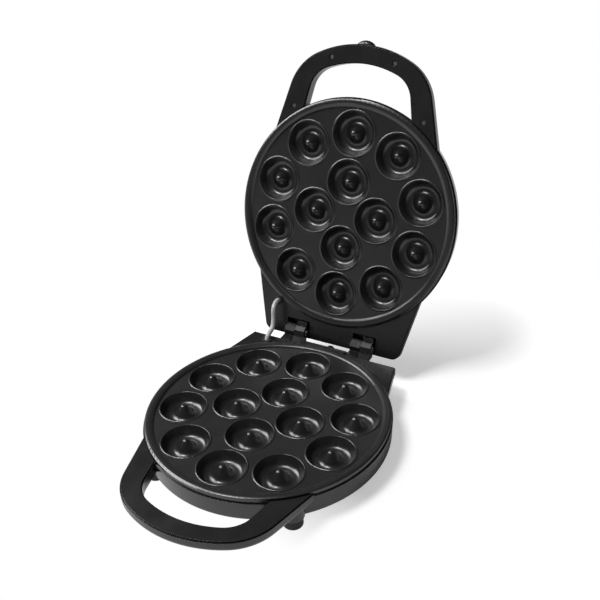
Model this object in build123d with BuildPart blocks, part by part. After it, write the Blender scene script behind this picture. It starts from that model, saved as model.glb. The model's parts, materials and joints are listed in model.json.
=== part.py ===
from build123d import *
from math import cos, pi, radians, sin, tan
import os

# Millimetres. The origin is on the table under the plate centre, +X right, +Y to the hinge, +Z up.
# The part is drawn with its lid open. Each half has its own face plane, with x and y on the plate
# and depth d counted from the plate into the half.

# Cast plates
CUP_RADIUS = 21.5
CUP_DEPTH = 9.0
CUP_FLARE = 4.5
CUP_FLOOR_WIDTH = 7.5
CUP_FLOOR_ROUND = 5.5
CUP_WALL = 2.2
CUP_EDGE = 0.6
LIP_HEIGHT = 0.7
LIP_CREST = 0.5
LIP_WIDTH = 1.7
NUB_RADIUS = 3.0
NUB_CROWN = 1.6
NUB_RISE = 1.9
OUTER_CUPS = 10
OUTER_LAND = 6.44
INNER_CUPS = 4
INNER_LAND = 3.67
RIM_LAND = 2.5
PLATE_THICKNESS = 2.7
RIM_WIDTH = 8.5
RIM_STEP = 0.8
RIM_STEP_HEIGHT = 1.2
RIM_RISE = 4.5
RIM_HEIGHT = 2.4
RIM_ROUND = 2.0
RIM_FALL = 0.9
RIM_GAP = 0.4
POST_INSET = 15.5
POST_RADIUS = 4.5
POST_ANGLES = (36, 144, 216, 324)
CENTRE_BOSS_RADIUS = 7.0

# Housings
FOOT_HEIGHT = 10.0
FLOOR_CLEARANCE = 1.5
BASE_EDGE = 3.0
LID_DEPTH = 30.0
LID_EDGE = 22.0
WALL = 2.5
BASE_DRAFT = 3.0
LID_DRAFT = 10.0
WALL_LEDGE = 1.3
FLANGE_GAP = 0.3

# Loop handles and hinge tabs
TRAY_TOP = 1.2
TRAY_HEIGHT = 9.8
TRAY_WALL = 2.2
TRAY_EDGE = 4.5
TRAY_INSET = 7.6
HANDLE_LENGTH = 50.1
HANDLE_NARROWING = 43.75
HANDLE_BOW = 25.7
HANDLE_CORNER_ROUND = 50.0
HANDLE_BAR = 17.6
HANDLE_ARM = 19.65
HANDLE_ARM_ROOT = 29.5
LOOP_BOW = 13.4
LOOP_CORNER_ROUND = 26.0
TAB_TAPER = 0.23
BASE_TAB_ROUND = 1.5
LID_TAB_REACH = 6.5
LID_TAB_ROUND = 9.0
COVER_THICKNESS = 1.4
COVER_INSET = 1.2
COVER_GAP = 0.7

# Hinge
HINGE_OFFSET = 14.7
OPEN_ANGLE = 107.9
LUG_WIDTH = 10.8
LUG_GAP = 0.4
LUG_RADIUS = 7.0
LUG_FACETS = 8
LUG_INNER_X = 26.0
LUG_ARM_DROP = 2.5
LUG_ARM_HEIGHT = 9.0
LUG_PAD_LENGTH = 17.2
LUG_PAD_RISE = 3.0
HEEL_HEIGHT = 5.0
HEEL_DROP = 4.0
STOP_GAP = 0.2
PIN_RADIUS = 2.5
PIN_HEAD_RADIUS = 3.5
PIN_HEAD = 1.0
RUNNING_FIT = 0.05
NOTCH_GAP = 0.6

# Latch
LATCH_SINK = 0.2
LATCH_PIVOT_DEPTH = 5.6
KNUCKLE_RADIUS = 4.0
KNUCKLE_HALF = 8.9
KNUCKLE_END = 0.5
LATCH_WIDTH = 8.4
LATCH_THICKNESS = 2.8
LATCH_FREE = 0.7
HOOK_HEIGHT = 3.0
HOOK_REACH = 5.5
HOOK_GAP = 0.4
LATCH_FOLD = 212.0
LATCH_PIN_RADIUS = 1.2
LATCH_PIN_HALF = 6.4
LATCH_GAP = 0.3
LATCH_BLOCK_HALF = 12.0
LATCH_BLOCK_LENGTH = 13.0

# Heating
ELEMENT_INSET = 5.0
ELEMENT_SIZE = 6.0
ELEMENT_LEAD_X = 8.0
ELEMENT_END_INSET = 15.5
ELEMENT_PIN_RADIUS = 1.5
ELEMENT_PIN_LENGTH = 4.5
REFLECTOR_INSET = 22.5
REFLECTOR_THICKNESS = 0.8
SENSOR_INSET = 26.0
SENSOR_ANGLES = (36, 144)
SENSOR_BOSS_RADIUS = 5.0
SENSOR_BOSS_DEPTH = 8.0
THERMOSTAT_RADIUS = 7.5
SENSOR_HEIGHT = 7.5
FUSE_RADIUS = 4.0
SENSOR_EDGE = 0.8

# Fasteners
SCREW_RADIUS = 1.5
SCREW_HEAD_RADIUS = 3.0
SCREW_HEAD = 1.8
SCREW_GRIP = 8.0
SCREW_FIT = 0.02
SCREW_CLEARANCE = 0.3
COVER_SCREW_RADIUS = 1.1
COVER_SCREW_HEAD_RADIUS = 2.3
COVER_SCREW_HEAD = 1.4
COVER_SCREW_GRIP = 4.0
COVER_BOSS_RADIUS = 3.2
COVER_BORE_RADIUS = 2.5
COVER_BORE_DEPTH = 2.4
LID_BOSS_LENGTH = 3.0
LID_BOSS_RADIUS = 4.2
BAR_SCREW_X = 32.3
BAR_SCREW_INSET = 13.9
ARM_SCREW_INSET = (45.0, 13.5)
WELL_WALL = 2.3
CAP_RADIUS = 4.2
CAP_THICKNESS = 3.0
CAP_SINK = 5.0
REFLECTOR_SCREW_HEAD = 1.2

# Feet
FOOT_RADIUS = 8.8
FOOT_EDGE = 1.0
FOOT_SPIGOT_RADIUS = 4.0
FOOT_SPIGOT = 2.0
FOOT_FIT = 0.05
FOOT_BOSS_RADIUS = 10.3
FRONT_FOOT_INSET = (43.5, 28.5)
REAR_FOOT_INSET = (50.5, 11.5)

# Wiring
LEAD_RADIUS = 2.5
LEAD_FIT = 0.1
LEAD_OFFSET = 6.3
BASE_LEAD_ANGLE = 120.0
LID_LEAD_ANGLE = 122.3
LEAD_TAIL = 4.5
LEAD_RISE = 3.0
LEAD_KNEE_SWAY = -1.0
LEAD_KNEE_BEHIND = 6.0
LEAD_KNEE_RISE = 7.0
LEAD_STAND = 12.6
LEAD_BENDS = (5.0, 10.0, 8.0)
GROMMET_RADIUS = 3.8
GROMMET_FLANGE_RADIUS = 4.8
GROMMET_FLANGE = 0.8
WIRE_RADIUS = 0.9
WIRE_BEND = 6.0
SENSOR_WIRE_X = 3.0
SENSOR_WIRE_INSET = 18.0
LEAD_WIRE_DEPTH = 7.0
LEAD_WIRE = ((-54.0, 23.0), (-31.0, 12.5), (-12.0, 8.9))
LEAD_WIRE_BENDS = (2.2, 6.0, 12.0, 2.4)
LID_WIRE_HALF = 1.2
LID_WIRE_DEPTH = 7.0
LID_SHORT_WIRE = ((-57.6, 24.0, 7.0), (-31.0, 12.0, 9.0))
LID_SHORT_BENDS = (2.2, 6.0, 12.0, 2.0)
LID_LONG_WIRE = ((-58.7, 27.3, 7.0), (-31.0, 15.2, 10.0), (-8.0, 12.5, 18.5))
LID_LONG_BENDS = (2.2, 6.0, 12.0, 8.0, 2.0)
LID_WIRE_HOOK = 3.7
BLOCK_HALF = 14.0
BLOCK_LENGTH = 4.6
BLOCK_TOP = 5.0
BLOCK_GAP = 0.5
BASE_SLOT_OFFSET = (-2.0, -5.2)
LID_SLOT_OFFSET = (2.4, -6.8)
SLOT_SIZE = (10.0, 12.0)
SLOT_DEPTH = 5.5
CORD_BAY_HALF = 25.0
CORD_BAY_REACH = 6.0
CORD_BAY_LENGTH = 20.0
WINDOW_HALF = 20.0
WINDOW_TOP = 4.0
GLAND_RADIUS = 4.5
GLAND_FLANGE_RADIUS = 6.2
GLAND_FLANGE = 2.0
GLAND_REACH = 13.5
GLAND_BORE = 2.9
GLAND_HEIGHT = 9.0
GLAND_EDGE = 0.8

# Signal lamps
LAMP_X = 9.0
LAMP_Y = -60.0
LENS_RADIUS = 3.5
LENS_FLANGE_RADIUS = 5.0
LENS_FLANGE = 1.2
LENS_RISE = 0.6
HOLDER_HEIGHT = 4.3
HOLDER_WALL = 1.5
NEON_RADIUS = 2.2

# Derived sizes of the plates, the handle and the hinge
OUTER_RING = (CUP_RADIUS + OUTER_LAND / 2) / sin(pi / OUTER_CUPS)
INNER_RING = (CUP_RADIUS + INNER_LAND / 2) / sin(pi / INNER_CUPS)
PLATE_RADIUS = OUTER_RING + CUP_RADIUS + RIM_LAND + RIM_WIDTH
WALL_RADIUS = PLATE_RADIUS + WALL_LEDGE
TRAY_ROOT = PLATE_RADIUS - TRAY_INSET
HANDLE_REACH = PLATE_RADIUS + HANDLE_LENGTH
HANDLE_CORNER = (PLATE_RADIUS - HANDLE_NARROWING, HANDLE_REACH - HANDLE_BOW)
LOOP_REACH = HANDLE_REACH - HANDLE_BAR
LOOP_CORNER = (HANDLE_CORNER[0] - HANDLE_ARM, LOOP_REACH - LOOP_BOW)
LOOP_ROOT = TRAY_ROOT - HANDLE_ARM_ROOT
BASE_TAB_END = PLATE_RADIUS
HINGE_Y = PLATE_RADIUS + HINGE_OFFSET
LID_TAB_END = HINGE_Y + LID_TAB_REACH
LATCH_PIVOT_Y = HANDLE_REACH - LATCH_SINK

# Derived levels and planes
ELEMENT_TOP = CUP_DEPTH + CUP_WALL
ELEMENT_MIDDLE = ELEMENT_TOP + ELEMENT_SIZE / 2
REFLECTOR_TOP = ELEMENT_TOP + ELEMENT_SIZE
BASE_FLOOR = REFLECTOR_TOP + REFLECTOR_THICKNESS + FLOOR_CLEARANCE
BASE_DEPTH = BASE_FLOOR + WALL
PLATE_Z = FOOT_HEIGHT + BASE_DEPTH
PARTING_Z = PLATE_Z + RIM_HEIGHT + RIM_GAP / 2
LID_Z = 2 * PARTING_Z - PLATE_Z
TRAY_BOTTOM = TRAY_TOP + TRAY_HEIGHT
TRAY_FLOOR = TRAY_BOTTOM - TRAY_WALL
COVER_TOP = TRAY_TOP - COVER_THICKNESS
LID_POST_DEPTH = LID_DEPTH / 2
SWING = Pos(0, HINGE_Y, PARTING_Z) * Rot(X=-OPEN_ANGLE) * Pos(0, -HINGE_Y, -PARTING_Z)
BASE = Plane((0, 0, PLATE_Z), x_dir=(-1, 0, 0), z_dir=(0, 0, -1))
LID = Plane(SWING * Pos(0, 0, LID_Z))


def section(face):
    """Plane through a half's centre line, with radius across and depth up."""
    return Plane(face.origin, x_dir=face.x_dir, z_dir=-face.y_dir)


def side(face, x):
    """Plane square to a half's x, with y across and depth up."""
    return Plane(face.origin + face.x_dir * x, x_dir=face.y_dir, z_dir=face.x_dir)


def spin(face):
    """Centre line of a half."""
    return Axis(face.origin, face.z_dir)


def polar(radius, angle):
    """Point on a circle about a half's centre line."""
    return (radius * cos(radians(angle)), radius * sin(radians(angle)))


# Places on the plates and housings
POSTS = [polar(PLATE_RADIUS - POST_INSET, angle) for angle in POST_ANGLES]
SENSORS = [polar(OUTER_RING - SENSOR_INSET, angle) for angle in SENSOR_ANGLES]
ARM_SCREW = (PLATE_RADIUS - ARM_SCREW_INSET[0], ARM_SCREW_INSET[1] - PLATE_RADIUS)
BAR_SCREW = (BAR_SCREW_X, BAR_SCREW_INSET - HANDLE_REACH)
COVER_SCREWS = [(turn * x, y) for turn in (1, -1) for x, y in (BAR_SCREW, ARM_SCREW)]
FRONT_FOOT = (PLATE_RADIUS - FRONT_FOOT_INSET[0], FRONT_FOOT_INSET[1] - PLATE_RADIUS)
REAR_FOOT = (PLATE_RADIUS - REAR_FOOT_INSET[0], PLATE_RADIUS - REAR_FOOT_INSET[1])
FEET = [(turn * x, y) for x, y in (FRONT_FOOT, REAR_FOOT) for turn in (1, -1)]
BASE_LEAD = polar(PLATE_RADIUS + LEAD_OFFSET, BASE_LEAD_ANGLE)
LID_LEAD = polar(PLATE_RADIUS + LEAD_OFFSET, LID_LEAD_ANGLE)
BASE_SLOT = (BASE_SLOT_OFFSET[0] - BASE_LEAD[0], BASE_SLOT_OFFSET[1] + BASE_LEAD[1])
LID_SLOT = (LID_SLOT_OFFSET[0] + LID_LEAD[0], LID_SLOT_OFFSET[1] + LID_LEAD[1])
ELEMENT_RING = OUTER_RING - ELEMENT_INSET
ELEMENT_END_Y = PLATE_RADIUS - ELEMENT_END_INSET
REFLECTOR_RADIUS = PLATE_RADIUS - REFLECTOR_INSET


def save(builder, name):
    """Label a finished piece and write it."""
    builder.part.label = name
    export_step(builder.part, f"parts/{name}.step")


def tube(points, radius, bends):
    """Round bar along straight runs joined by tangent bends."""
    with BuildPart() as bar:
        with BuildLine() as route:
            if len(points) > 2:
                FilletPolyline(*points, radius=bends)
            else:
                Line(*points)
        with BuildSketch(Plane(route.line @ 0, z_dir=route.line % 0)):
            Circle(radius)
        sweep()
    return bar.part


def screw(radius, grip, head_radius, head):
    """Pan screw along +Z, with its shank above the origin and its head below."""
    with BuildPart() as fastener:
        Cylinder(radius, grip, align=(Align.CENTER, Align.CENTER, Align.MIN))
        Cylinder(head_radius, head, align=(Align.CENTER, Align.CENTER, Align.MAX))
        fillet(fastener.faces().sort_by(Axis.Z)[0].edges(), head / 3)
    return fastener.part


# Outlines of the handle and the hinge tab

def bow(corner, reach, root, rounding):
    """Outline with straight arms, a bowed front and rounded front corners."""
    with BuildSketch() as shape:
        with BuildLine():
            front = ThreePointArc((-corner[0], -corner[1]), (0, -reach), (corner[0], -corner[1]))
            Polyline(front @ 1, (root, 0), (-root, 0), front @ 0)
        make_face()
        fillet(shape.vertices().group_by(Axis.Y)[0], rounding)
    return shape.sketch


def handle_outline(inset):
    """Handle with its loop, drawn inset from its edges."""
    with BuildSketch() as shape:
        add(bow(HANDLE_CORNER, HANDLE_REACH, TRAY_ROOT, HANDLE_CORNER_ROUND))
        if inset:
            offset(amount=-inset)
        with BuildSketch(mode=Mode.SUBTRACT):
            add(bow(LOOP_CORNER, LOOP_REACH, LOOP_ROOT, LOOP_CORNER_ROUND))
            if inset:
                offset(amount=inset)
            Circle(WALL_RADIUS - TRAY_WALL - COVER_INSET - inset, mode=Mode.SUBTRACT)
    return shape.sketch


def tab_outline(end, rounding, inset):
    """Hinge tab, drawn inset from its edges."""
    tip = TRAY_ROOT - TAB_TAPER * end
    with BuildSketch() as shape:
        with BuildLine():
            Polyline((-TRAY_ROOT, 0), (TRAY_ROOT, 0), (tip, end), (-tip, end), close=True)
        make_face()
        fillet(shape.vertices().group_by(Axis.Y)[-1], rounding)
        if inset:
            offset(amount=-inset, kind=Kind.INTERSECTION)
    return shape.sketch


# Housing shapes shared by both halves

def bowl(face, depth, edge, draft, inset):
    """Round housing, solid, drawn inset from its outer face."""
    radius = WALL_RADIUS - inset
    roof = depth - inset
    shoulder = radius - (roof - PLATE_THICKNESS) * tan(radians(draft))
    with BuildPart() as body:
        with BuildSketch(section(face)):
            with BuildLine():
                wall = FilletPolyline(
                    (0, roof), (shoulder, roof), (radius, PLATE_THICKNESS), radius=edge - inset
                )
                Polyline(wall @ 1, (0, PLATE_THICKNESS), wall @ 0)
            make_face()
        revolve(axis=spin(face))
    return body.part


def tray(face, tab_end, tab_round):
    """Handle and hinge tab as shallow trays, open on the plate side."""
    with BuildPart() as body:
        with BuildSketch(face.offset(TRAY_TOP)):
            add(handle_outline(0))
            add(tab_outline(tab_end, tab_round, 0))
        extrude(amount=TRAY_HEIGHT)
        underside = body.faces().sort_by(spin(face))[-1]
        fillet(underside.outer_wire().edges(), TRAY_EDGE)
        with BuildSketch(face.offset(TRAY_TOP)):
            add(handle_outline(TRAY_WALL))
            add(tab_outline(tab_end, tab_round, TRAY_WALL))
            Circle(WALL_RADIUS, mode=Mode.SUBTRACT)
        extrude(amount=TRAY_FLOOR - TRAY_TOP, mode=Mode.SUBTRACT)
    return body.part


os.makedirs("parts", exist_ok=True)


# Cast plates

def cup_body():
    """Outside of one cup with its raised lip, filled, opening at the origin and deepening along +Z."""
    depth = CUP_DEPTH + CUP_WALL
    mouth = CUP_RADIUS + CUP_WALL
    with BuildPart() as body:
        with BuildSketch(Plane.XZ):
            with BuildLine():
                top = Polyline(
                    (0, -NUB_RISE), (NUB_RADIUS, -NUB_RISE), (NUB_RADIUS, -LIP_HEIGHT),
                    (CUP_RADIUS + LIP_CREST, -LIP_HEIGHT),
                )
                flank = TangentArc(top @ 1, (CUP_RADIUS + LIP_WIDTH, 0), tangent=(1, 0))
                Polyline(flank @ 1, (mouth, 0), (mouth - CUP_FLARE, depth), (0, depth), (0, -NUB_RISE))
            make_face()
        revolve(axis=Axis.Z)
    return body.part


def cup_hollow():
    """Ring-shaped space in one cup, round the nub that makes the hole."""
    floor_outer = CUP_RADIUS - CUP_FLARE
    floor_inner = floor_outer - CUP_FLOOR_WIDTH
    with BuildPart() as space:
        with BuildSketch(Plane.XZ):
            with BuildLine():
                nub = TangentArc((0, -NUB_RISE), (NUB_RADIUS, NUB_CROWN - NUB_RISE), tangent=(1, 0))
                trough = FilletPolyline(
                    nub @ 1, (floor_inner, CUP_DEPTH), (floor_outer, CUP_DEPTH), (CUP_RADIUS, -LIP_HEIGHT),
                    radius=CUP_FLOOR_ROUND,
                )
                Polyline(trough @ 1, (CUP_RADIUS, -RIM_HEIGHT), (0, -RIM_HEIGHT), nub @ 0)
            make_face()
        revolve(axis=Axis.Z)
    return space.part


def plate(face, post_depth, bosses):
    """Cast plate with a raised rim, two rings of cups, screw posts and bosses."""
    rim_inner = PLATE_RADIUS - RIM_WIDTH
    cups = PolarLocations(OUTER_RING, OUTER_CUPS, start_angle=90).local_locations
    cups += PolarLocations(INNER_RING, INNER_CUPS, start_angle=90).local_locations
    with BuildPart(face) as cast:
        with BuildSketch(section(face)):
            with BuildLine():
                step = Polyline((0, 0), (rim_inner, 0), (rim_inner + RIM_STEP, -RIM_STEP_HEIGHT))
                rise = TangentArc((rim_inner + RIM_RISE, -RIM_HEIGHT), step @ 1, tangent=(-1, 0))
                crest = Line(rise @ 0, (PLATE_RADIUS - RIM_ROUND, -RIM_HEIGHT))
                fall = TangentArc(crest @ 1, (PLATE_RADIUS, RIM_FALL - RIM_HEIGHT), tangent=(1, 0))
                Polyline(fall @ 1, (PLATE_RADIUS, PLATE_THICKNESS), (0, PLATE_THICKNESS), (0, 0))
            make_face()
        revolve(axis=spin(face))
        with Locations(*cups):
            add(cup_body())
        with BuildSketch(face.offset(PLATE_THICKNESS)):
            with Locations(*POSTS):
                Circle(POST_RADIUS)
        extrude(amount=post_depth - PLATE_THICKNESS)
        with BuildSketch(face.offset(PLATE_THICKNESS)):
            Circle(CENTRE_BOSS_RADIUS)
        extrude(amount=REFLECTOR_TOP - PLATE_THICKNESS)
        if bosses:
            with BuildSketch(face.offset(PLATE_THICKNESS)):
                with Locations(*bosses):
                    Circle(SENSOR_BOSS_RADIUS)
            extrude(amount=SENSOR_BOSS_DEPTH - PLATE_THICKNESS)
        with Locations(*cups):
            add(cup_hollow(), mode=Mode.SUBTRACT)
        lips = cast.edges().filter_by(GeomType.CIRCLE)
        fillet(lips.filter_by(lambda edge: abs(edge.radius - CUP_RADIUS) < 0.01), CUP_EDGE)
        with BuildSketch(face.offset(post_depth)):
            with Locations(*POSTS):
                Circle(SCREW_RADIUS + SCREW_FIT)
        extrude(amount=-SCREW_GRIP, mode=Mode.SUBTRACT)
        with BuildSketch(face.offset(REFLECTOR_TOP)):
            Circle(SCREW_RADIUS + SCREW_FIT)
        extrude(amount=-SCREW_GRIP, mode=Mode.SUBTRACT)
    return cast


# Heating parts shared by both halves

def element(face):
    """Flat-topped tubular element: an open ring with two ends and their pins to the rear."""
    half = ELEMENT_SIZE / 2
    with BuildPart() as bar:
        with BuildSketch(face.offset(ELEMENT_TOP)):
            Circle(ELEMENT_RING + half)
            Circle(ELEMENT_RING - half, mode=Mode.SUBTRACT)
            with Locations((0, ELEMENT_RING)):
                Rectangle(2 * ELEMENT_LEAD_X, 4 * ELEMENT_SIZE, mode=Mode.SUBTRACT)
            for lead_x in (-ELEMENT_LEAD_X, ELEMENT_LEAD_X):
                with Locations((lead_x, ELEMENT_END_Y)):
                    Rectangle(
                        ELEMENT_SIZE, ELEMENT_END_Y - ELEMENT_RING + half, align=(Align.CENTER, Align.MAX)
                    )
        extrude(amount=ELEMENT_SIZE)
        rear = Plane(face.origin + face.y_dir * ELEMENT_END_Y, x_dir=face.x_dir, z_dir=face.y_dir)
        with BuildSketch(rear):
            with Locations((-ELEMENT_LEAD_X, -ELEMENT_MIDDLE), (ELEMENT_LEAD_X, -ELEMENT_MIDDLE)):
                Circle(ELEMENT_PIN_RADIUS)
        extrude(amount=ELEMENT_PIN_LENGTH)
    return bar


def reflector(face):
    """Thin heat shield behind the element."""
    with BuildPart() as sheet:
        with BuildSketch(face.offset(REFLECTOR_TOP)):
            Circle(REFLECTOR_RADIUS)
            Circle(SCREW_RADIUS + SCREW_CLEARANCE, mode=Mode.SUBTRACT)
        extrude(amount=REFLECTOR_THICKNESS)
    return sheet


def outward(face, depth):
    """Plane at a depth in a half, facing back to the plate."""
    return Plane(face.offset(depth).origin, x_dir=face.x_dir, z_dir=-face.z_dir)


def reflector_screw(face):
    """Screw that holds the heat shield to the plate's centre boss."""
    with BuildPart(outward(face, REFLECTOR_TOP + REFLECTOR_THICKNESS)) as fastener:
        add(screw(SCREW_RADIUS, SCREW_GRIP, SCREW_HEAD_RADIUS, REFLECTOR_SCREW_HEAD))
    return fastener


save(plate(BASE, BASE_FLOOR, SENSORS), "lower_plate")
save(plate(LID, LID_POST_DEPTH, []), "upper_plate")
save(element(BASE), "lower_element")
save(element(LID), "upper_element")
save(reflector(BASE), "lower_reflector")
save(reflector(LID), "upper_reflector")
save(reflector_screw(BASE), "lower_reflector_screw")
save(reflector_screw(LID), "upper_reflector_screw")


# Hinge places along x: in each pair the base lug is the left one and the lid lug the right one
LUG_STEP = LUG_WIDTH + LUG_GAP
PAIR_WIDTH = LUG_WIDTH + LUG_STEP
PAIRS = (LUG_INNER_X, -LUG_INNER_X - PAIR_WIDTH)
AXIS_DEPTH = PARTING_Z - LID_Z
LATCH_ANGLE = radians(270 - LATCH_FOLD)
LATCH_ALONG = LID.y_dir * cos(LATCH_ANGLE) + LID.z_dir * sin(LATCH_ANGLE)
LATCH_PIVOT = LID.from_local_coords((0, -LATCH_PIVOT_Y, LATCH_PIVOT_DEPTH))
LATCH = Plane(LATCH_PIVOT, x_dir=LATCH_ALONG, z_dir=LID.x_dir)
LATCH_LENGTH = LID_Z + LATCH_PIVOT_DEPTH - PLATE_Z + TRAY_BOTTOM + HOOK_GAP + HOOK_HEIGHT
EAR_INNER = LATCH_WIDTH / 2 + LATCH_GAP
WELL_FLOOR = LID_POST_DEPTH + WALL
BAY_END = BASE_TAB_END + CORD_BAY_REACH
BAY_INNER_END = BAY_END - TRAY_WALL
LAMPS = ((-LAMP_X, LAMP_Y), (LAMP_X, LAMP_Y))
LAMP_SEAT = LID_DEPTH - WALL
COVER_BOSS_DEPTH = TRAY_TOP + LID_BOSS_LENGTH
HEAD_SEAT = COVER_TOP + COVER_BORE_DEPTH
HARNESS_Y = ELEMENT_END_Y + ELEMENT_PIN_LENGTH
BLOCK_FRONT = BAY_INNER_END - GLAND_FLANGE - BLOCK_GAP - BLOCK_LENGTH


# Base housing

with BuildPart() as base_shell:
    add(tray(BASE, BASE_TAB_END, BASE_TAB_ROUND))
    # Cord bay behind the round housing
    with BuildSketch(BASE.offset(TRAY_TOP)):
        with Locations((0, BAY_END)):
            Rectangle(2 * CORD_BAY_HALF, CORD_BAY_LENGTH, align=(Align.CENTER, Align.MAX))
    extrude(amount=BASE_DEPTH - TRAY_TOP)
    with BuildSketch(BASE.offset(TRAY_TOP)):
        with Locations((0, BAY_INNER_END)):
            Rectangle(2 * (CORD_BAY_HALF - TRAY_WALL), CORD_BAY_LENGTH, align=(Align.CENTER, Align.MAX))
    extrude(amount=BASE_FLOOR - TRAY_TOP, mode=Mode.SUBTRACT)
    # Bosses over the feet
    with BuildSketch(BASE.offset(TRAY_FLOOR)):
        with Locations(*FEET):
            Circle(FOOT_BOSS_RADIUS)
    extrude(amount=BASE_DEPTH - TRAY_FLOOR)
    # Hinge lugs on the rear wall
    for pair in PAIRS:
        with BuildSketch(Plane.YZ.offset(pair)):
            with Locations((HINGE_Y, PARTING_Z)):
                RegularPolygon(LUG_RADIUS, LUG_FACETS, rotation=180 / LUG_FACETS)
            with BuildLine():
                arm_top = PARTING_Z - LUG_ARM_DROP
                root_y = BASE_TAB_END - TRAY_WALL / 2
                Polyline(
                    (root_y, arm_top), (HINGE_Y, arm_top), (HINGE_Y, PARTING_Z - LUG_RADIUS),
                    (root_y, arm_top - LUG_ARM_HEIGHT), close=True,
                )
            make_face()
        extrude(amount=LUG_WIDTH)
        with BuildSketch(Plane.YZ.offset(pair)):
            with Locations((HINGE_Y, PARTING_Z)):
                Circle(PIN_RADIUS + RUNNING_FIT)
        extrude(amount=LUG_WIDTH, mode=Mode.SUBTRACT)
    # Round housing, its hollow and the seat of the plate flange
    add(bowl(BASE, BASE_DEPTH, BASE_EDGE, BASE_DRAFT, 0))
    add(bowl(BASE, BASE_DEPTH, BASE_EDGE, BASE_DRAFT, WALL), mode=Mode.SUBTRACT)
    with BuildSketch(BASE):
        Circle(PLATE_RADIUS + FLANGE_GAP)
    extrude(amount=PLATE_THICKNESS, mode=Mode.SUBTRACT)
    # Window from the cord bay to the hollow, and the gland hole
    with BuildSketch(BASE.offset(WINDOW_TOP)):
        with Locations((0, BAY_INNER_END)):
            Rectangle(2 * WINDOW_HALF, CORD_BAY_LENGTH, align=(Align.CENTER, Align.MAX))
    extrude(amount=BASE_FLOOR - WINDOW_TOP, mode=Mode.SUBTRACT)
    with BuildSketch(Plane((0, BAY_END, FOOT_HEIGHT + GLAND_HEIGHT), z_dir=(0, -1, 0))):
        Circle(GLAND_RADIUS + LEAD_FIT)
    extrude(amount=TRAY_WALL, mode=Mode.SUBTRACT)
    # Slot for the lead's wire
    with BuildSketch(BASE.offset(SLOT_DEPTH)):
        with Locations(BASE_SLOT):
            Rectangle(*SLOT_SIZE)
    extrude(amount=TRAY_FLOOR - SLOT_DEPTH, mode=Mode.SUBTRACT)
    # Holes for the plate screws, the handle screws and the feet
    with BuildSketch(BASE.offset(BASE_FLOOR)):
        with Locations(*POSTS):
            Circle(SCREW_RADIUS + SCREW_CLEARANCE)
    extrude(amount=WALL, mode=Mode.SUBTRACT)
    with BuildSketch(BASE.offset(TRAY_FLOOR)):
        with Locations(*COVER_SCREWS):
            Circle(COVER_SCREW_RADIUS + SCREW_CLEARANCE)
    extrude(amount=TRAY_WALL, mode=Mode.SUBTRACT)
    with BuildSketch(BASE.offset(BASE_DEPTH)):
        with Locations(*FEET):
            Circle(FOOT_SPIGOT_RADIUS + FOOT_FIT)
    extrude(amount=-FOOT_SPIGOT, mode=Mode.SUBTRACT)
save(base_shell, "base_shell")


# Lid housing

def screw_wells():
    """Tubes from the lid roof down to the posts of the upper plate."""
    with BuildPart() as wells:
        with BuildSketch(LID.offset(LID_POST_DEPTH)):
            with Locations(*POSTS):
                Circle(CAP_RADIUS + WELL_WALL)
        extrude(amount=LID_DEPTH)
        add(bowl(LID, LID_DEPTH, LID_EDGE, LID_DRAFT, 0), mode=Mode.INTERSECT)
    return wells.part


def knuckle():
    """Crowned barrel across the handle front, shared out between the ears and the latch."""
    with BuildPart() as barrel:
        with BuildSketch(Plane(LATCH_PIVOT, x_dir=LID.x_dir, z_dir=LID.y_dir)):
            with BuildLine():
                crown = ThreePointArc(
                    (-KNUCKLE_HALF, KNUCKLE_END), (0, KNUCKLE_RADIUS), (KNUCKLE_HALF, KNUCKLE_END)
                )
                Polyline(crown @ 1, (KNUCKLE_HALF, 0), (-KNUCKLE_HALF, 0), crown @ 0)
            make_face()
        revolve(axis=Axis(LATCH_PIVOT, LID.x_dir))
    return barrel.part


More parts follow.
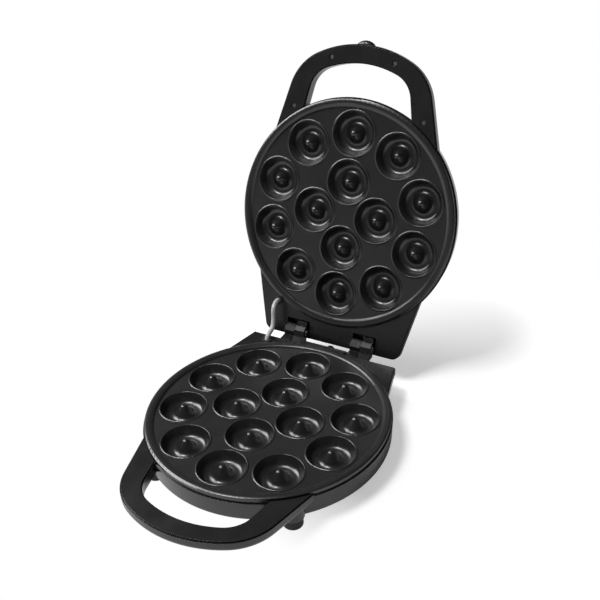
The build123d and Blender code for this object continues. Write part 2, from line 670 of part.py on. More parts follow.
with BuildPart() as lid_shell:
    add(tray(LID, LID_TAB_END, LID_TAB_ROUND))
    add(bowl(LID, LID_DEPTH, LID_EDGE, LID_DRAFT, 0))
    add(bowl(LID, LID_DEPTH, LID_EDGE, LID_DRAFT, WALL), mode=Mode.SUBTRACT)
    with BuildSketch(LID):
        Circle(PLATE_RADIUS + FLANGE_GAP)
    extrude(amount=PLATE_THICKNESS, mode=Mode.SUBTRACT)
    # Wells for the plate screws
    add(screw_wells())
    with BuildSketch(LID.offset(WELL_FLOOR)):
        with Locations(*POSTS):
            Circle(CAP_RADIUS)
    extrude(amount=LID_DEPTH, mode=Mode.SUBTRACT)
    with BuildSketch(LID.offset(LID_POST_DEPTH)):
        with Locations(*POSTS):
            Circle(SCREW_RADIUS + SCREW_CLEARANCE)
    extrude(amount=WALL, mode=Mode.SUBTRACT)
    # Posts under the handle cover, with their screw holes
    with BuildSketch(LID.offset(COVER_BOSS_DEPTH)):
        with Locations(*COVER_SCREWS):
            Circle(COVER_BOSS_RADIUS)
    extrude(amount=TRAY_FLOOR - COVER_BOSS_DEPTH)
    with BuildSketch(LID.offset(COVER_BOSS_DEPTH)):
        with Locations(*COVER_SCREWS):
            Circle(COVER_SCREW_RADIUS + SCREW_FIT)
    extrude(amount=COVER_SCREW_GRIP, mode=Mode.SUBTRACT)
    # Hinge lugs on pads, with the heels that stop the lid
    for pair in PAIRS:
        with BuildSketch(side(LID, pair + LUG_STEP)):
            with Locations((HINGE_Y, AXIS_DEPTH)):
                RegularPolygon(LUG_RADIUS, LUG_FACETS, rotation=180 / LUG_FACETS)
            with Locations((LID_TAB_END, -LUG_PAD_RISE)):
                Rectangle(LUG_PAD_LENGTH, TRAY_FLOOR + LUG_PAD_RISE, align=(Align.MAX, Align.MIN))
        extrude(amount=LUG_WIDTH)
        with BuildSketch(Plane.YZ.offset(pair + LUG_STEP)):
            with BuildLine():
                heel_y = BASE_TAB_END + STOP_GAP
                heel_top = PARTING_Z - HEEL_DROP
                Polyline(
                    (heel_y, heel_top), (HINGE_Y, PARTING_Z), (HINGE_Y, heel_top - HEEL_HEIGHT),
                    (heel_y, heel_top - HEEL_HEIGHT), close=True,
                )
            make_face()
        extrude(amount=LUG_WIDTH)
        with BuildSketch(Plane.YZ.offset(pair + LUG_STEP)):
            with Locations((HINGE_Y, PARTING_Z)):
                Circle(PIN_RADIUS + RUNNING_FIT)
        extrude(amount=LUG_WIDTH, mode=Mode.SUBTRACT)
        # Notch in the rear wall for the base lug and the pin head beside it
        with BuildSketch(side(LID, pair - PIN_HEAD - NOTCH_GAP)):
            with Locations((LID_TAB_END, 0)):
                Rectangle(2 * TRAY_WALL, 2 * TRAY_FLOOR, align=(Align.CENTER, Align.CENTER))
        extrude(amount=LUG_STEP + PIN_HEAD + NOTCH_GAP, mode=Mode.SUBTRACT)
    # Block for the latch in the front of the handle, its ears and its groove
    with BuildSketch(LID.offset(TRAY_TOP)):
        with Locations((0, TRAY_WALL / 2 - HANDLE_REACH)):
            Rectangle(2 * LATCH_BLOCK_HALF, LATCH_BLOCK_LENGTH, align=(Align.CENTER, Align.MIN))
    extrude(amount=TRAY_HEIGHT)
    add(knuckle())
    with BuildSketch(LATCH.offset(-EAR_INNER)):
        Circle(KNUCKLE_RADIUS + LATCH_GAP)
        with Locations((0, -LATCH_THICKNESS - LATCH_FREE - LATCH_GAP)):
            Rectangle(LATCH_LENGTH, 2 * LATCH_BLOCK_LENGTH, align=(Align.MIN, Align.MIN))
    extrude(amount=2 * EAR_INNER, mode=Mode.SUBTRACT)
    with BuildSketch(LATCH.offset(-LATCH_PIN_HALF)):
        Circle(LATCH_PIN_RADIUS + SCREW_FIT)
    extrude(amount=2 * LATCH_PIN_HALF, mode=Mode.SUBTRACT)
    # Lamp holes in the roof, and the slot for the lead's wires
    with BuildSketch(LID.offset(LAMP_SEAT)):
        with Locations(*LAMPS):
            Circle(LENS_RADIUS + SCREW_FIT)
    extrude(amount=WALL, mode=Mode.SUBTRACT)
    with BuildSketch(LID.offset(SLOT_DEPTH)):
        with Locations(LID_SLOT):
            Rectangle(*SLOT_SIZE)
    extrude(amount=TRAY_FLOOR - SLOT_DEPTH, mode=Mode.SUBTRACT)
save(lid_shell, "lid_shell")


# Covers that close the trays

with BuildPart() as base_handle_cover:
    with BuildSketch(BASE.offset(COVER_TOP)):
        add(handle_outline(COVER_INSET))
        Circle(PLATE_RADIUS + COVER_GAP, mode=Mode.SUBTRACT)
    extrude(amount=COVER_THICKNESS)
    with BuildSketch(BASE.offset(TRAY_TOP)):
        with Locations(*COVER_SCREWS):
            Circle(COVER_BOSS_RADIUS)
    extrude(amount=TRAY_FLOOR - TRAY_TOP)
    with BuildSketch(BASE.offset(TRAY_FLOOR)):
        with Locations(*COVER_SCREWS):
            Circle(COVER_SCREW_RADIUS + SCREW_FIT)
    extrude(amount=-COVER_SCREW_GRIP, mode=Mode.SUBTRACT)
save(base_handle_cover, "base_handle_cover")

with BuildPart() as lid_handle_cover:
    with BuildSketch(LID.offset(COVER_TOP)):
        add(handle_outline(COVER_INSET))
        Circle(PLATE_RADIUS + COVER_GAP, mode=Mode.SUBTRACT)
    extrude(amount=COVER_THICKNESS)
    with BuildSketch(LID.offset(TRAY_TOP)):
        with Locations(*COVER_SCREWS):
            Circle(LID_BOSS_RADIUS)
    extrude(amount=LID_BOSS_LENGTH)
    with BuildSketch(LID.offset(COVER_TOP)):
        with Locations(*COVER_SCREWS):
            Circle(COVER_BORE_RADIUS)
    extrude(amount=COVER_BORE_DEPTH, mode=Mode.SUBTRACT)
    with BuildSketch(LID.offset(HEAD_SEAT)):
        with Locations(*COVER_SCREWS):
            Circle(COVER_SCREW_RADIUS + SCREW_CLEARANCE)
    extrude(amount=COVER_BOSS_DEPTH - HEAD_SEAT, mode=Mode.SUBTRACT)
save(lid_handle_cover, "lid_handle_cover")

with BuildPart() as base_hinge_cover:
    with BuildSketch(BASE.offset(COVER_TOP)):
        add(tab_outline(BASE_TAB_END, BASE_TAB_ROUND, COVER_INSET))
        with Locations((0, BAY_END - COVER_INSET)):
            Rectangle(
                2 * (CORD_BAY_HALF - COVER_INSET), CORD_BAY_LENGTH, align=(Align.CENTER, Align.MAX)
            )
        Circle(PLATE_RADIUS + COVER_GAP, mode=Mode.SUBTRACT)
        with Locations((-BASE_LEAD[0], BASE_LEAD[1])):
            Circle(GROMMET_RADIUS, mode=Mode.SUBTRACT)
    extrude(amount=COVER_THICKNESS)
save(base_hinge_cover, "base_hinge_cover")

with BuildPart() as lid_hinge_cover:
    with BuildSketch(LID.offset(COVER_TOP)):
        add(tab_outline(LID_TAB_END, LID_TAB_ROUND, COVER_INSET))
        Circle(PLATE_RADIUS + COVER_GAP, mode=Mode.SUBTRACT)
        with Locations(LID_LEAD):
            Circle(GROMMET_RADIUS, mode=Mode.SUBTRACT)
        for pair in PAIRS:
            with Locations((pair + PAIR_WIDTH / 2, LID_TAB_END)):
                Rectangle(
                    PAIR_WIDTH + 2 * (PIN_HEAD + NOTCH_GAP), LUG_PAD_LENGTH + PIN_HEAD,
                    align=(Align.CENTER, Align.MAX), mode=Mode.SUBTRACT,
                )
    extrude(amount=COVER_THICKNESS)
save(lid_hinge_cover, "lid_hinge_cover")


# Fasteners

def screw_set(plane, places, fastener):
    """Copies of one screw at places on a plane."""
    with BuildPart(plane) as group:
        with Locations(*places):
            add(fastener)
    return group


plate_screw = screw(SCREW_RADIUS, SCREW_GRIP, SCREW_HEAD_RADIUS, SCREW_HEAD)
base_cover_screw = screw(
    COVER_SCREW_RADIUS, COVER_SCREW_GRIP + TRAY_WALL, COVER_SCREW_HEAD_RADIUS, COVER_SCREW_HEAD
)
lid_cover_screw = screw(
    COVER_SCREW_RADIUS, COVER_SCREW_GRIP, COVER_SCREW_HEAD_RADIUS, COVER_SCREW_HEAD
)
save(screw_set(outward(BASE, BASE_DEPTH), POSTS, plate_screw), "lower_plate_screws")
save(screw_set(outward(LID, WELL_FLOOR), POSTS, plate_screw), "upper_plate_screws")
save(
    screw_set(Plane.XY.offset(PLATE_Z - TRAY_BOTTOM), COVER_SCREWS, base_cover_screw), "base_handle_screws"
)
save(screw_set(LID.offset(HEAD_SEAT), COVER_SCREWS, lid_cover_screw), "lid_handle_screws")

with BuildPart() as lid_screw_caps:
    with BuildSketch(LID.offset(LID_DEPTH - CAP_SINK - CAP_THICKNESS)):
        with Locations(*POSTS):
            Circle(CAP_RADIUS - SCREW_FIT)
    extrude(amount=CAP_THICKNESS)
save(lid_screw_caps, "lid_screw_caps")

with BuildPart() as hinge_pins:
    for pair in PAIRS:
        with BuildSketch(Plane.YZ.offset(pair - PIN_HEAD)):
            with Locations((HINGE_Y, PARTING_Z)):
                Circle(PIN_RADIUS)
        extrude(amount=PAIR_WIDTH + 2 * PIN_HEAD)
        for head_x in (pair - PIN_HEAD, pair + PAIR_WIDTH):
            with BuildSketch(Plane.YZ.offset(head_x)):
                with Locations((HINGE_Y, PARTING_Z)):
                    Circle(PIN_HEAD_RADIUS)
            extrude(amount=PIN_HEAD)
save(hinge_pins, "hinge_pins")

with BuildPart() as feet:
    with BuildSketch(Plane.XY):
        with Locations(*FEET):
            Circle(FOOT_RADIUS)
    extrude(amount=FOOT_HEIGHT)
    fillet(feet.faces().group_by(Axis.Z)[0].edges(), FOOT_EDGE)
    with BuildSketch(Plane.XY.offset(FOOT_HEIGHT)):
        with Locations(*FEET):
            Circle(FOOT_SPIGOT_RADIUS)
    extrude(amount=FOOT_SPIGOT)
save(feet, "feet")


# Latch on the front of the lid handle, folded back behind the handle

with BuildPart() as latch:
    with BuildSketch(LATCH.offset(-LATCH_WIDTH / 2)):
        Circle(KNUCKLE_RADIUS)
    extrude(amount=LATCH_WIDTH)
    add(knuckle(), mode=Mode.INTERSECT)
    with BuildSketch(LATCH.offset(-LATCH_WIDTH / 2)):
        with Locations((0, -LATCH_FREE)):
            Rectangle(LATCH_LENGTH, LATCH_THICKNESS, align=(Align.MIN, Align.MAX))
        with Locations((LATCH_LENGTH, -LATCH_FREE - LATCH_THICKNESS)):
            Rectangle(
                HOOK_HEIGHT, HOOK_REACH + LATCH_FREE + LATCH_THICKNESS, align=(Align.MAX, Align.MIN)
            )
    extrude(amount=LATCH_WIDTH)
    with BuildSketch(LATCH.offset(-LATCH_WIDTH / 2)):
        Circle(LATCH_PIN_RADIUS + RUNNING_FIT)
    extrude(amount=LATCH_WIDTH, mode=Mode.SUBTRACT)
save(latch, "latch")

with BuildPart() as latch_pin:
    with BuildSketch(LATCH.offset(-LATCH_PIN_HALF)):
        Circle(LATCH_PIN_RADIUS)
    extrude(amount=2 * LATCH_PIN_HALF)
save(latch_pin, "latch_pin")


# Sensors on the lower plate, terminal block and cord gland

def sensor(place, radius):
    """Round temperature sensor under its boss on the lower plate."""
    with BuildPart() as can:
        with BuildSketch(BASE.offset(SENSOR_BOSS_DEPTH)):
            with Locations(place):
                Circle(radius)
        extrude(amount=SENSOR_HEIGHT)
        fillet(can.faces().sort_by(Axis.Z)[0].edges(), SENSOR_EDGE)
    return can


save(sensor(SENSORS[0], THERMOSTAT_RADIUS), "thermostat")
save(sensor(SENSORS[1], FUSE_RADIUS), "thermal_fuse")

with BuildPart() as terminal_block:
    with BuildSketch(BASE.offset(BASE_FLOOR)):
        with Locations((0, BLOCK_FRONT)):
            Rectangle(2 * BLOCK_HALF, BLOCK_LENGTH, align=(Align.CENTER, Align.MIN))
    extrude(amount=BLOCK_TOP - BASE_FLOOR)
save(terminal_block, "terminal_block")

with BuildPart() as cord_gland:
    gland_face = Plane((0, BAY_END, FOOT_HEIGHT + GLAND_HEIGHT), z_dir=(0, 1, 0))
    with BuildSketch(gland_face.offset(-TRAY_WALL - GLAND_FLANGE)):
        Circle(GLAND_FLANGE_RADIUS)
    extrude(amount=GLAND_FLANGE)
    with BuildSketch(gland_face.offset(-TRAY_WALL)):
        Circle(GLAND_RADIUS)
    extrude(amount=TRAY_WALL + GLAND_REACH)
    fillet(cord_gland.faces().sort_by(Axis.Y)[-1].edges(), GLAND_EDGE)
    with BuildSketch(gland_face):
        Circle(GLAND_FLANGE_RADIUS)
    extrude(amount=GLAND_FLANGE)
    with BuildSketch(gland_face.offset(-TRAY_WALL - GLAND_FLANGE)):
        Circle(GLAND_BORE)
    extrude(amount=TRAY_WALL + GLAND_FLANGE + GLAND_REACH, mode=Mode.SUBTRACT)
save(cord_gland, "cord_gland")


# Lead from the base to the lid, in a soft sleeve through two grommets

def in_lid(x, y, depth):
    """Point of the lid in the part's frame."""
    return tuple(LID.from_local_coords((x, y, depth)))


LEAD_ROUTE = [
    (*BASE_LEAD, PLATE_Z - LEAD_TAIL),
    (*BASE_LEAD, PLATE_Z + LEAD_RISE),
    (BASE_LEAD[0] + LEAD_KNEE_SWAY, PLATE_RADIUS + LEAD_KNEE_BEHIND, PLATE_Z + LEAD_KNEE_RISE),
    in_lid(*LID_LEAD, -LEAD_STAND),
    in_lid(*LID_LEAD, LEAD_TAIL),
]

with BuildPart() as lead_sleeve:
    add(tube(LEAD_ROUTE, LEAD_RADIUS, LEAD_BENDS))
save(lead_sleeve, "lead_sleeve")


def grommet(face, place):
    """Flanged rubber ring in a hinge cover, bored along the lead."""
    with BuildPart() as ring:
        with BuildSketch(face.offset(COVER_TOP)):
            with Locations(place):
                Circle(GROMMET_RADIUS - SCREW_FIT)
        extrude(amount=COVER_THICKNESS)
        for flange_depth in (COVER_TOP - GROMMET_FLANGE, TRAY_TOP):
            with BuildSketch(face.offset(flange_depth)):
                with Locations(place):
                    Circle(GROMMET_FLANGE_RADIUS)
            extrude(amount=GROMMET_FLANGE)
        add(tube(LEAD_ROUTE, LEAD_RADIUS + LEAD_FIT, LEAD_BENDS), mode=Mode.SUBTRACT)
    return ring


save(grommet(BASE, (-BASE_LEAD[0], BASE_LEAD[1])), "base_grommet")
save(grommet(LID, LID_LEAD), "lid_grommet")

# Wires inside the base: element pins, sensors and lead, each to the terminal block
PIN_Z = PLATE_Z - ELEMENT_MIDDLE
with BuildPart() as base_harness:
    for turn, can_radius in ((1, FUSE_RADIUS), (-1, THERMOSTAT_RADIUS)):
        add(tube(
            [(turn * ELEMENT_LEAD_X, HARNESS_Y, PIN_Z), (turn * ELEMENT_LEAD_X, BLOCK_FRONT, PIN_Z)],
            WIRE_RADIUS, WIRE_BEND,
        ))
        knee = Vector(turn * SENSOR_WIRE_X, OUTER_RING - SENSOR_WIRE_INSET, PIN_Z)
        can = Vector(turn * SENSORS[0][0], SENSORS[0][1], PIN_Z)
        contact = can + (knee - can).normalized() * (can_radius + LEAD_FIT)
        add(tube([(knee.X, BLOCK_FRONT, PIN_Z), knee, contact], WIRE_RADIUS, WIRE_BEND))
    lead_run = [BASE_LEAD] + [(x, PLATE_RADIUS - inset) for x, inset in LEAD_WIRE]
    lead_run.append((lead_run[-1][0], BLOCK_FRONT))
    lead_wire = [(*point, PLATE_Z - LEAD_WIRE_DEPTH) for point in lead_run]
    lead_wire.insert(0, (*BASE_LEAD, PLATE_Z - LEAD_TAIL))
    add(tube(lead_wire, WIRE_RADIUS, LEAD_WIRE_BENDS))
save(base_harness, "base_harness")

# Wires inside the lid: from the lead to the two element pins
with BuildPart() as lid_harness:
    for turn, middle, bends in ((1, LID_SHORT_WIRE, LID_SHORT_BENDS), (-1, LID_LONG_WIRE, LID_LONG_BENDS)):
        start = (LID_LEAD[0] + turn * LID_WIRE_HALF, LID_LEAD[1])
        run = [(*start, LEAD_TAIL), (*start, LID_WIRE_DEPTH)]
        run += [(x, PLATE_RADIUS - inset, depth) for x, inset, depth in middle]
        run.append((-turn * ELEMENT_LEAD_X, HARNESS_Y + LID_WIRE_HOOK, ELEMENT_MIDDLE))
        run.append((-turn * ELEMENT_LEAD_X, HARNESS_Y, ELEMENT_MIDDLE))
        add(tube([in_lid(*point) for point in run], WIRE_RADIUS, bends))
save(lid_harness, "lid_harness")


# Signal lamps in the lid roof

def lens(place):
    """Flanged lens pushed out through the lid roof."""
    with BuildPart() as cap:
        with BuildSketch(LID.offset(LAMP_SEAT - LENS_FLANGE)):
            with Locations(place):
                Circle(LENS_FLANGE_RADIUS)
        extrude(amount=LENS_FLANGE)
        with BuildSketch(LID.offset(LAMP_SEAT)):
            with Locations(place):
                Circle(LENS_RADIUS)
        extrude(amount=WALL + LENS_RISE)
    return cap


save(lens(LAMPS[0]), "lamp_lens_red")
save(lens(LAMPS[1]), "lamp_lens_green")

HOLDER_TOP = LAMP_SEAT - LENS_FLANGE - HOLDER_HEIGHT
with BuildPart() as lamp_holder:
    with BuildSketch(LID.offset(HOLDER_TOP)):
        with Locations((0, LAMP_Y)):
            SlotCenterToCenter(2 * LAMP_X, 2 * LENS_FLANGE_RADIUS)
    extrude(amount=HOLDER_HEIGHT)
    with BuildSketch(LID.offset(HOLDER_TOP + HOLDER_WALL)):
        with Locations(*LAMPS):
            Circle(NEON_RADIUS + LEAD_FIT)
    extrude(amount=HOLDER_HEIGHT, mode=Mode.SUBTRACT)
save(lamp_holder, "lamp_holder")

with BuildPart() as neon_lamps:
    with BuildSketch(LID.offset(HOLDER_TOP + HOLDER_WALL)):
        with Locations(*LAMPS):
            Circle(NEON_RADIUS)
    extrude(amount=HOLDER_HEIGHT - HOLDER_WALL - LEAD_FIT)
save(neon_lamps, "neon_lamps")
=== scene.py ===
import json
import math

import bmesh
import bpy
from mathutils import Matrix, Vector


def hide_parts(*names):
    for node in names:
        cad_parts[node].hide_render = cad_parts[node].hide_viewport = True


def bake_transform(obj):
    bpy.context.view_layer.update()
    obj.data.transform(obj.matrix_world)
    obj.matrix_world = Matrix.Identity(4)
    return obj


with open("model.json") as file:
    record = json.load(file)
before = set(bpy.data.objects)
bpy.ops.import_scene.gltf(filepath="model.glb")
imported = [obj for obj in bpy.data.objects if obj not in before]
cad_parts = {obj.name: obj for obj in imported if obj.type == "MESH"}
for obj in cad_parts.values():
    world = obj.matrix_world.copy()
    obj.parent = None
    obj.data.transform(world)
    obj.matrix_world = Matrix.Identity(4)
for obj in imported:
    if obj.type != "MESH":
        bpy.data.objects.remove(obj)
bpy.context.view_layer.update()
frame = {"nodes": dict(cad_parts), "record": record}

# Sizes of the part and of its patterns are in millimetres, which MM turns to metres; the stage is in metres
MM = 0.001

# Camera of the photograph
CAMERA_PLACE = (0.341062, -0.543088, 0.545831)  # metres
CAMERA_TURN = (58.319, 2.447, 27.548)  # degrees
FOCAL_PIXELS = 891.745
IMAGE_SIDE = 600  # pixels
SENSOR_WIDTH = 36.0  # millimetres

# Lead between the halves: the route of its sleeve, chosen along the photographed lead
LEAD_ROUTE = (
    (-59.4, 102.9, 27.5),
    (-59.4, 102.9, 35.5),
    (-59.0, 119.5, 39.0),
    (-62.3, 125.5, 64.5),
    (-63.5, 142.2, 57.9),
)
LEAD_RADIUS = 2.5
ROUTE_STEPS = 24  # points read along each span of the route
BRAID_STRANDS = 8  # strands that run each way round
BRAID_PITCH = 7.0  # length in which a strand goes round once
BRAID_RELIEF = 0.22  # depth of the gaps between strands
BRAID_SIDES = 48  # points round the sleeve
BRAID_DIP = 0.25  # share of its height by which a strand rises and dips as strands cross
FIBRE_SIZE = 0.35
FIBRE_RELIEF = 0.03

# Noise and rounded edges in the finishes
PATCH_DETAIL = 3.0
GRAIN_DETAIL = 2.0
PATCH_RANGE = (0.3, 0.7)  # where most values of a noise lie
EDGE_SAMPLES = 6

# Colour sockets of a Mix node, by number because their names repeat
MIX_FIRST = 6
MIX_SECOND = 7
MIX_RESULT = 2

# Floor, in metres: it keeps the part's shadow within the reach, and turns to plain white beyond it
FLOOR_HALF = 40.0
FLOOR_LIFT = 0.45  # light that the paper adds where the camera sees it
SHADOW_MIDDLE = (0.14, 0.15, 0.0)
SHADOW_REACH = 0.18
SHADOW_FADE = 1.5  # multiple of the reach at which the floor is plain white
FLECK_SIZE = 3.0  # millimetres

# Light: lamps by place and size in metres and power in watts, each turned to the target, and an even surround
LAMP_TARGET = (0.0, 0.05, 0.08)
LAMPS = {
    "key_light": ((-0.58, -0.62, 2.1), (0.6, 0.6), 29.0),
    "side_light": ((-1.2, -0.05, 1.1), (0.9, 1.0), 26.0),
}
WORLD_STRENGTH = 0.12
WHITE = (1.0, 1.0, 1.0, 1.0)


# Shared helpers

def linear(code):
    """Linear colour of an sRGB hex code."""
    parts = [int(code[at:at + 2], 16) / 255 for at in (1, 3, 5)]
    return (*[p / 12.92 if p <= 0.04045 else ((p + 0.055) / 1.055) ** 2.4 for p in parts], 1.0)


def per_metre(size):
    """Pattern scale that gives features of a size in millimetres."""
    return 1 / (size * MM)


def add(tree, kind, inputs=None, **settings):
    """Adds a node with its settings; each input is a value, or a socket to link."""
    node = tree.nodes.new(kind)
    for name, value in settings.items():
        setattr(node, name, value)
    for name, value in (inputs or {}).items():
        if isinstance(value, bpy.types.NodeSocket):
            tree.links.new(value, node.inputs[name])
        else:
            node.inputs[name].default_value = value
    return node


def start_material(name):
    """Empty material, with its tree and the object's own coordinates."""
    material = bpy.data.materials.new(name)
    material.use_nodes = True
    material.node_tree.nodes.clear()
    place = add(material.node_tree, "ShaderNodeTexCoord").outputs["Object"]
    return material, material.node_tree, place


def grained(name, tints, patch, roughness, grain, depth, edge=0.3, stretch=(1, 1, 1), **shader):
    """Opaque finish: two close tints in soft patches, gloss that drifts with them, and a fine relief.

    The patches, the grain with its depth and the rounding of edges are sizes in millimetres.
    """
    material, tree, place = start_material(name)
    laid = add(tree, "ShaderNodeMapping", {"Vector": place, "Scale": stretch}).outputs["Vector"]
    patches = add(tree, "ShaderNodeTexNoise", {
        "Vector": laid, "Scale": per_metre(patch), "Detail": PATCH_DETAIL,
    })
    share = patches.outputs["Fac"]
    tint = add(tree, "ShaderNodeMix", {
        "Factor": share, MIX_FIRST: linear(tints[0]), MIX_SECOND: linear(tints[1]),
    }, data_type="RGBA")
    gloss = add(tree, "ShaderNodeMapRange", {
        "Value": share, "From Min": PATCH_RANGE[0], "From Max": PATCH_RANGE[1],
        "To Min": roughness[0], "To Max": roughness[1],
    })
    relief = add(tree, "ShaderNodeTexNoise", {
        "Vector": laid, "Scale": per_metre(grain), "Detail": GRAIN_DETAIL,
    })
    rounded = add(tree, "ShaderNodeBevel", {"Radius": edge * MM}, samples=EDGE_SAMPLES)
    bump = add(tree, "ShaderNodeBump", {
        "Height": relief.outputs["Fac"], "Distance": depth * MM, "Normal": rounded.outputs["Normal"],
    })
    surface = add(tree, "ShaderNodeBsdfPrincipled", {
        "Base Color": tint.outputs[MIX_RESULT], "Roughness": gloss.outputs["Result"],
        "Normal": bump.outputs["Normal"], **shader,
    })
    add(tree, "ShaderNodeOutputMaterial", {"Surface": surface.outputs["BSDF"]})
    return material


def clear(name, tint, ior, roughness, patch):
    """Clear finish, with gloss that drifts a little in soft patches of a size in millimetres."""
    material, tree, place = start_material(name)
    patches = add(tree, "ShaderNodeTexNoise", {
        "Vector": place, "Scale": per_metre(patch), "Detail": GRAIN_DETAIL,
    })
    gloss = add(tree, "ShaderNodeMapRange", {
        "Value": patches.outputs["Fac"], "To Min": roughness[0], "To Max": roughness[1],
    })
    surface = add(tree, "ShaderNodeBsdfPrincipled", {
        "Base Color": linear(tint), "Roughness": gloss.outputs["Result"], "IOR": ior,
        "Transmission Weight": 1.0,
    })
    add(tree, "ShaderNodeOutputMaterial", {"Surface": surface.outputs["BSDF"]})
    return material


# Materials

# Black PBT, injection moulded against a fine blasted tool: satin, with a faint grain that softens reflections
moulded_plastic = grained(
    "moulded_black_pbt", ("#131212", "#181717"), patch=22.0, roughness=(0.24, 0.31), grain=0.5, depth=0.005,
    IOR=1.54,
)
# Cast aluminium sprayed with a fluoropolymer: near black and smooth, with broad soft glints from its top coat
nonstick_coating = grained(
    "sprayed_nonstick_aluminium", ("#131213", "#1a1919"), patch=18.0, roughness=(0.30, 0.35), grain=1.1,
    depth=0.001, edge=0.0, IOR=1.45, **{"Coat Weight": 0.6, "Coat Roughness": 0.26, "Coat IOR": 1.5},
)
# Annealed steel sheath of a heating element: dull straw grey, drawn lengthwise
element_sheath = grained(
    "annealed_steel_sheath", ("#7d756c", "#958b80"), patch=6.0, roughness=(0.35, 0.5), grain=0.4, depth=0.004,
    Metallic=1.0,
)
# Rolled aluminium sheet: bright, with fine streaks along the rolling direction
rolled_aluminium = grained(
    "rolled_aluminium_sheet", ("#c4c5c7", "#d2d3d4"), patch=9.0, roughness=(0.22, 0.38), grain=0.6,
    depth=0.004, stretch=(1.0, 0.06, 1.0), Metallic=1.0,
)
# Zinc plated steel, rolled and headed: pale and slightly cloudy
zinc_plate = grained(
    "zinc_plated_steel", ("#b8b7b2", "#cdccc6"), patch=2.5, roughness=(0.24, 0.4), grain=0.35, depth=0.004,
    Metallic=1.0,
)
# Black oxide on steel: a thin dark skin that keeps the metal's glint, with its tints painted much lighter
# than the oxide as a painted highlight, so the heads show bright in their shaded wells
oxide_steel_painted_bright = grained(
    "blackened_steel_painted_highlight", ("#75726b", "#8a877f"), patch=1.5, roughness=(0.3, 0.45), grain=0.3, depth=0.004,
    Metallic=1.0,
)
# Black rubber, moulded: nearly matt, with a powdery bloom
moulded_rubber = grained(
    "moulded_black_rubber", ("#121111", "#191818"), patch=7.0, roughness=(0.6, 0.75), grain=0.4, depth=0.01,
    IOR=1.52,
)
# Natural nylon, moulded: warm off-white, waxy
moulded_nylon = grained(
    "moulded_natural_nylon", ("#ddd7c8", "#e6e1d4"), patch=8.0, roughness=(0.4, 0.5), grain=0.5, depth=0.006,
    IOR=1.53,
)
# Silicone insulation, extruded: white, with a soft sheen
extruded_silicone = grained(
    "extruded_white_silicone", ("#e2dfd8", "#ecebe6"), patch=5.0, roughness=(0.4, 0.5), grain=0.4,
    depth=0.005, IOR=1.41,
)
# Polycarbonate, moulded and tinted: glossy and clear through its depth
red_polycarbonate = clear(
    "moulded_red_polycarbonate", "#c8201a", ior=1.585, roughness=(0.04, 0.1), patch=6.0
)
green_polycarbonate = clear(
    "moulded_green_polycarbonate", "#1d8f3c", ior=1.585, roughness=(0.04, 0.1), patch=6.0
)
# Soda glass, drawn to a small bulb: clear and bright, with a faint warm tint
drawn_glass = clear("drawn_soda_glass", "#f3ede2", ior=1.52, roughness=(0.01, 0.04), patch=3.0)


def braided_sleeve():
    """Glass-fibre sleeving, braided and varnished: grey strands with a sheen, with painted shade darkening
    the gaps between them.
    """
    material, tree, place = start_material("braided_glass_fibre")
    height = add(tree, "ShaderNodeAttribute", attribute_name="braid_height").outputs["Fac"]
    fibres = add(tree, "ShaderNodeTexNoise", {
        "Vector": place, "Scale": per_metre(FIBRE_SIZE), "Detail": GRAIN_DETAIL,
    })
    # Painted shade: the tint runs from the strands' grey down to a dark grey in the gaps, following the
    # braid's height
    tint = add(tree, "ShaderNodeMix", {
        "Factor": height, MIX_FIRST: linear("#6c6d6f"), MIX_SECOND: linear("#bcbdbf"),
    }, data_type="RGBA")
    bump = add(tree, "ShaderNodeBump", {"Height": fibres.outputs["Fac"], "Distance": FIBRE_RELIEF * MM})
    surface = add(tree, "ShaderNodeBsdfPrincipled", {
        "Base Color": tint.outputs[MIX_RESULT], "Roughness": 0.4, "IOR": 1.5,
        "Normal": bump.outputs["Normal"],
    })
    add(tree, "ShaderNodeOutputMaterial", {"Surface": surface.outputs["BSDF"]})
    return material


glass_braid = braided_sleeve()

FINISHES = {
    "black_plastic": moulded_plastic,
    "nonstick_aluminium": nonstick_coating,
    "element_steel": element_sheath,
    "reflector_aluminium": rolled_aluminium,
    "zinc_steel": zinc_plate,
    "black_steel": oxide_steel_painted_bright,
    "black_rubber": moulded_rubber,
    "grey_sleeve": glass_braid,
    "pale_plastic": moulded_nylon,
    "wire_insulation": extruded_silicone,
    "red_lens": red_polycarbonate,
    "green_lens": green_polycarbonate,
    "lamp_glass": drawn_glass,
}
for subpart in frame["record"]["subparts"]:
    node = frame["nodes"][subpart["node"]]
    node.data.materials.clear()
    node.data.materials.append(FINISHES[subpart["material_slot"]])


# Lead sleeve

def route_line(points):
    """Points along the smooth line that a route of control points gives, in metres."""
    curve = bpy.data.curves.new("lead_route", "CURVE")
    curve.dimensions = "3D"
    curve.resolution_u = ROUTE_STEPS
    spline = curve.splines.new("NURBS")
    spline.points.add(len(points) - 1)
    for control, point in zip(spline.points, points):
        control.co = (*[value * MM for value in point], 1.0)
    spline.order_u = 3
    spline.use_endpoint_u = True
    holder = bpy.data.objects.new("lead_route", curve)
    bpy.context.scene.collection.objects.link(holder)
    bpy.context.view_layer.update()
    shape = bpy.data.meshes.new_from_object(holder.evaluated_get(bpy.context.evaluated_depsgraph_get()))
    line = [vertex.co.copy() for vertex in shape.vertices]
    bpy.data.objects.remove(holder)
    bpy.data.curves.remove(curve)
    bpy.data.meshes.remove(shape)
    return line


def braid_rise(turn, travel):
    """Height of a braided surface, from 0 in a gap to 1 on a strand, at a turn and a travel along it."""
    left = BRAID_STRANDS * turn + 2 * math.pi * BRAID_STRANDS * travel / BRAID_PITCH
    right = BRAID_STRANDS * turn - 2 * math.pi * BRAID_STRANDS * travel / BRAID_PITCH
    over = BRAID_DIP * math.sin(left / 2) * math.sin(right / 2)
    return max(
        abs(math.sin(left / 2)) * (1 - BRAID_DIP + over),
        abs(math.sin(right / 2)) * (1 - BRAID_DIP - over),
    )


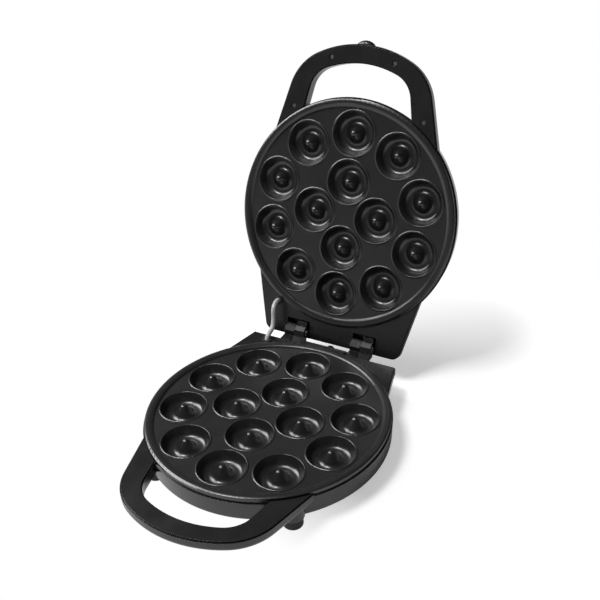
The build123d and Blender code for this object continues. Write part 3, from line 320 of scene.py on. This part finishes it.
def lead_sleeve_piece():
    """Braided tube along the lead's route, with the braid in its surface."""
    line = route_line(LEAD_ROUTE)
    mesh = bmesh.new()
    heights = []
    rings = []
    side = Vector((1.0, 0.0, 0.0))
    travel = 0.0
    for at, point in enumerate(line):
        ahead = (line[min(at + 1, len(line) - 1)] - line[max(at - 1, 0)]).normalized()
        side = (side - ahead * side.dot(ahead)).normalized()
        across = ahead.cross(side)
        travel += (point - line[at - 1]).length / MM if at else 0.0
        ring = []
        for step in range(BRAID_SIDES):
            turn = 2 * math.pi * step / BRAID_SIDES
            rise = braid_rise(turn, travel)
            radius = (LEAD_RADIUS - BRAID_RELIEF * (1 - rise)) * MM
            ring.append(mesh.verts.new(point + radius * (side * math.cos(turn) + across * math.sin(turn))))
            heights.append(rise)
        rings.append(ring)
    for near, far in zip(rings, rings[1:]):
        for step in range(BRAID_SIDES):
            after = (step + 1) % BRAID_SIDES
            mesh.faces.new((near[step], near[after], far[after], far[step])).smooth = True
    mesh.faces.new(list(reversed(rings[0])))
    mesh.faces.new(rings[-1])
    bmesh.ops.recalc_face_normals(mesh, faces=mesh.faces)
    data = bpy.data.meshes.new("lead_sleeve_braid")
    mesh.to_mesh(data)
    mesh.free()
    data.attributes.new("braid_height", "FLOAT", "POINT").data.foreach_set("value", heights)
    data.materials.append(glass_braid)
    sleeve = bpy.data.objects.new("lead_sleeve_braid", data)
    bpy.context.scene.collection.objects.link(sleeve)
    length = sum((after - before).length for before, after in zip(line, line[1:]))
    return sleeve, line, length


sleeve, sleeve_line, sleeve_length = lead_sleeve_piece()
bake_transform(sleeve)
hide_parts("lead_sleeve")


# Floor, light and camera

def floor_paper():
    """White studio paper, matt, faintly uneven; it keeps the part's shadow and is plain white beyond."""
    material, tree, place = start_material("matt_white_paper")
    fleck = add(tree, "ShaderNodeTexNoise", {
        "Vector": place, "Scale": per_metre(FLECK_SIZE), "Detail": PATCH_DETAIL,
    })
    tint = add(tree, "ShaderNodeMix", {
        "Factor": fleck.outputs["Fac"], MIX_FIRST: linear("#f4f4f4"), MIX_SECOND: linear("#f7f7f7"),
    }, data_type="RGBA")
    matt = add(tree, "ShaderNodeBsdfDiffuse", {"Color": tint.outputs[MIX_RESULT]})
    seen = add(tree, "ShaderNodeLightPath")
    shown = add(tree, "ShaderNodeMath", {
        0: seen.outputs["Is Camera Ray"], 1: seen.outputs["Is Glossy Ray"],
    }, operation="MAXIMUM")
    shown = add(tree, "ShaderNodeMath", {
        0: shown.outputs[0], 1: seen.outputs["Is Transmission Ray"],
    }, operation="MAXIMUM")
    lift = add(tree, "ShaderNodeMath", {
        0: seen.outputs["Is Camera Ray"], 1: FLOOR_LIFT,
    }, operation="MULTIPLY")
    glow = add(tree, "ShaderNodeEmission", {"Strength": lift.outputs[0]})
    near = add(tree, "ShaderNodeAddShader", {0: matt.outputs[0], 1: glow.outputs[0]})
    away = add(tree, "ShaderNodeVectorMath", {0: place, 1: SHADOW_MIDDLE}, operation="DISTANCE")
    share = add(tree, "ShaderNodeMapRange", {
        "Value": away.outputs["Value"], "From Min": SHADOW_REACH, "From Max": SHADOW_FADE * SHADOW_REACH,
    })
    share = add(tree, "ShaderNodeMath", {
        0: share.outputs["Result"], 1: shown.outputs[0],
    }, operation="MULTIPLY")
    white = add(tree, "ShaderNodeEmission", {"Strength": 1.0})
    both = add(tree, "ShaderNodeMixShader", {0: share.outputs[0], 1: near.outputs[0], 2: white.outputs[0]})
    add(tree, "ShaderNodeOutputMaterial", {"Surface": both.outputs[0]})
    return material


floor_mesh = bpy.data.meshes.new("floor")
floor_corners = [
    (-FLOOR_HALF, -FLOOR_HALF, 0),
    (FLOOR_HALF, -FLOOR_HALF, 0),
    (FLOOR_HALF, FLOOR_HALF, 0),
    (-FLOOR_HALF, FLOOR_HALF, 0),
]
floor_mesh.from_pydata(floor_corners, [], [(0, 1, 2, 3)])
floor_mesh.materials.append(floor_paper())
floor = bpy.data.objects.new("floor", floor_mesh)
bpy.context.scene.collection.objects.link(floor)


def soft_box(name, place, size, power):
    """Rectangular lamp with a soft face, turned to the lamps' target."""
    lamp = bpy.data.lights.new(name, "AREA")
    lamp.shape = "RECTANGLE"
    lamp.size, lamp.size_y = size
    lamp.energy = power
    holder = bpy.data.objects.new(name, lamp)
    holder.location = place
    holder.rotation_euler = (Vector(LAMP_TARGET) - Vector(place)).to_track_quat("-Z", "Y").to_euler()
    bpy.context.scene.collection.objects.link(holder)


for lamp_name, (lamp_place, lamp_size, lamp_power) in LAMPS.items():
    soft_box(lamp_name, lamp_place, lamp_size, lamp_power)

world = bpy.data.worlds.new("studio")
bpy.context.scene.world = world
world.use_nodes = True
world.node_tree.nodes.clear()
sky = add(world.node_tree, "ShaderNodeBackground", {"Color": WHITE, "Strength": WORLD_STRENGTH})
add(world.node_tree, "ShaderNodeOutputWorld", {"Surface": sky.outputs[0]})

camera = bpy.data.cameras.new("camera")
camera.sensor_width = SENSOR_WIDTH
camera.lens = FOCAL_PIXELS / IMAGE_SIDE * SENSOR_WIDTH
eye = bpy.data.objects.new("camera", camera)
eye.location = CAMERA_PLACE
eye.rotation_euler = [math.radians(turn) for turn in CAMERA_TURN]
bpy.context.scene.collection.objects.link(eye)
bpy.context.scene.camera = eye
bpy.context.scene.view_settings.view_transform = "Standard"
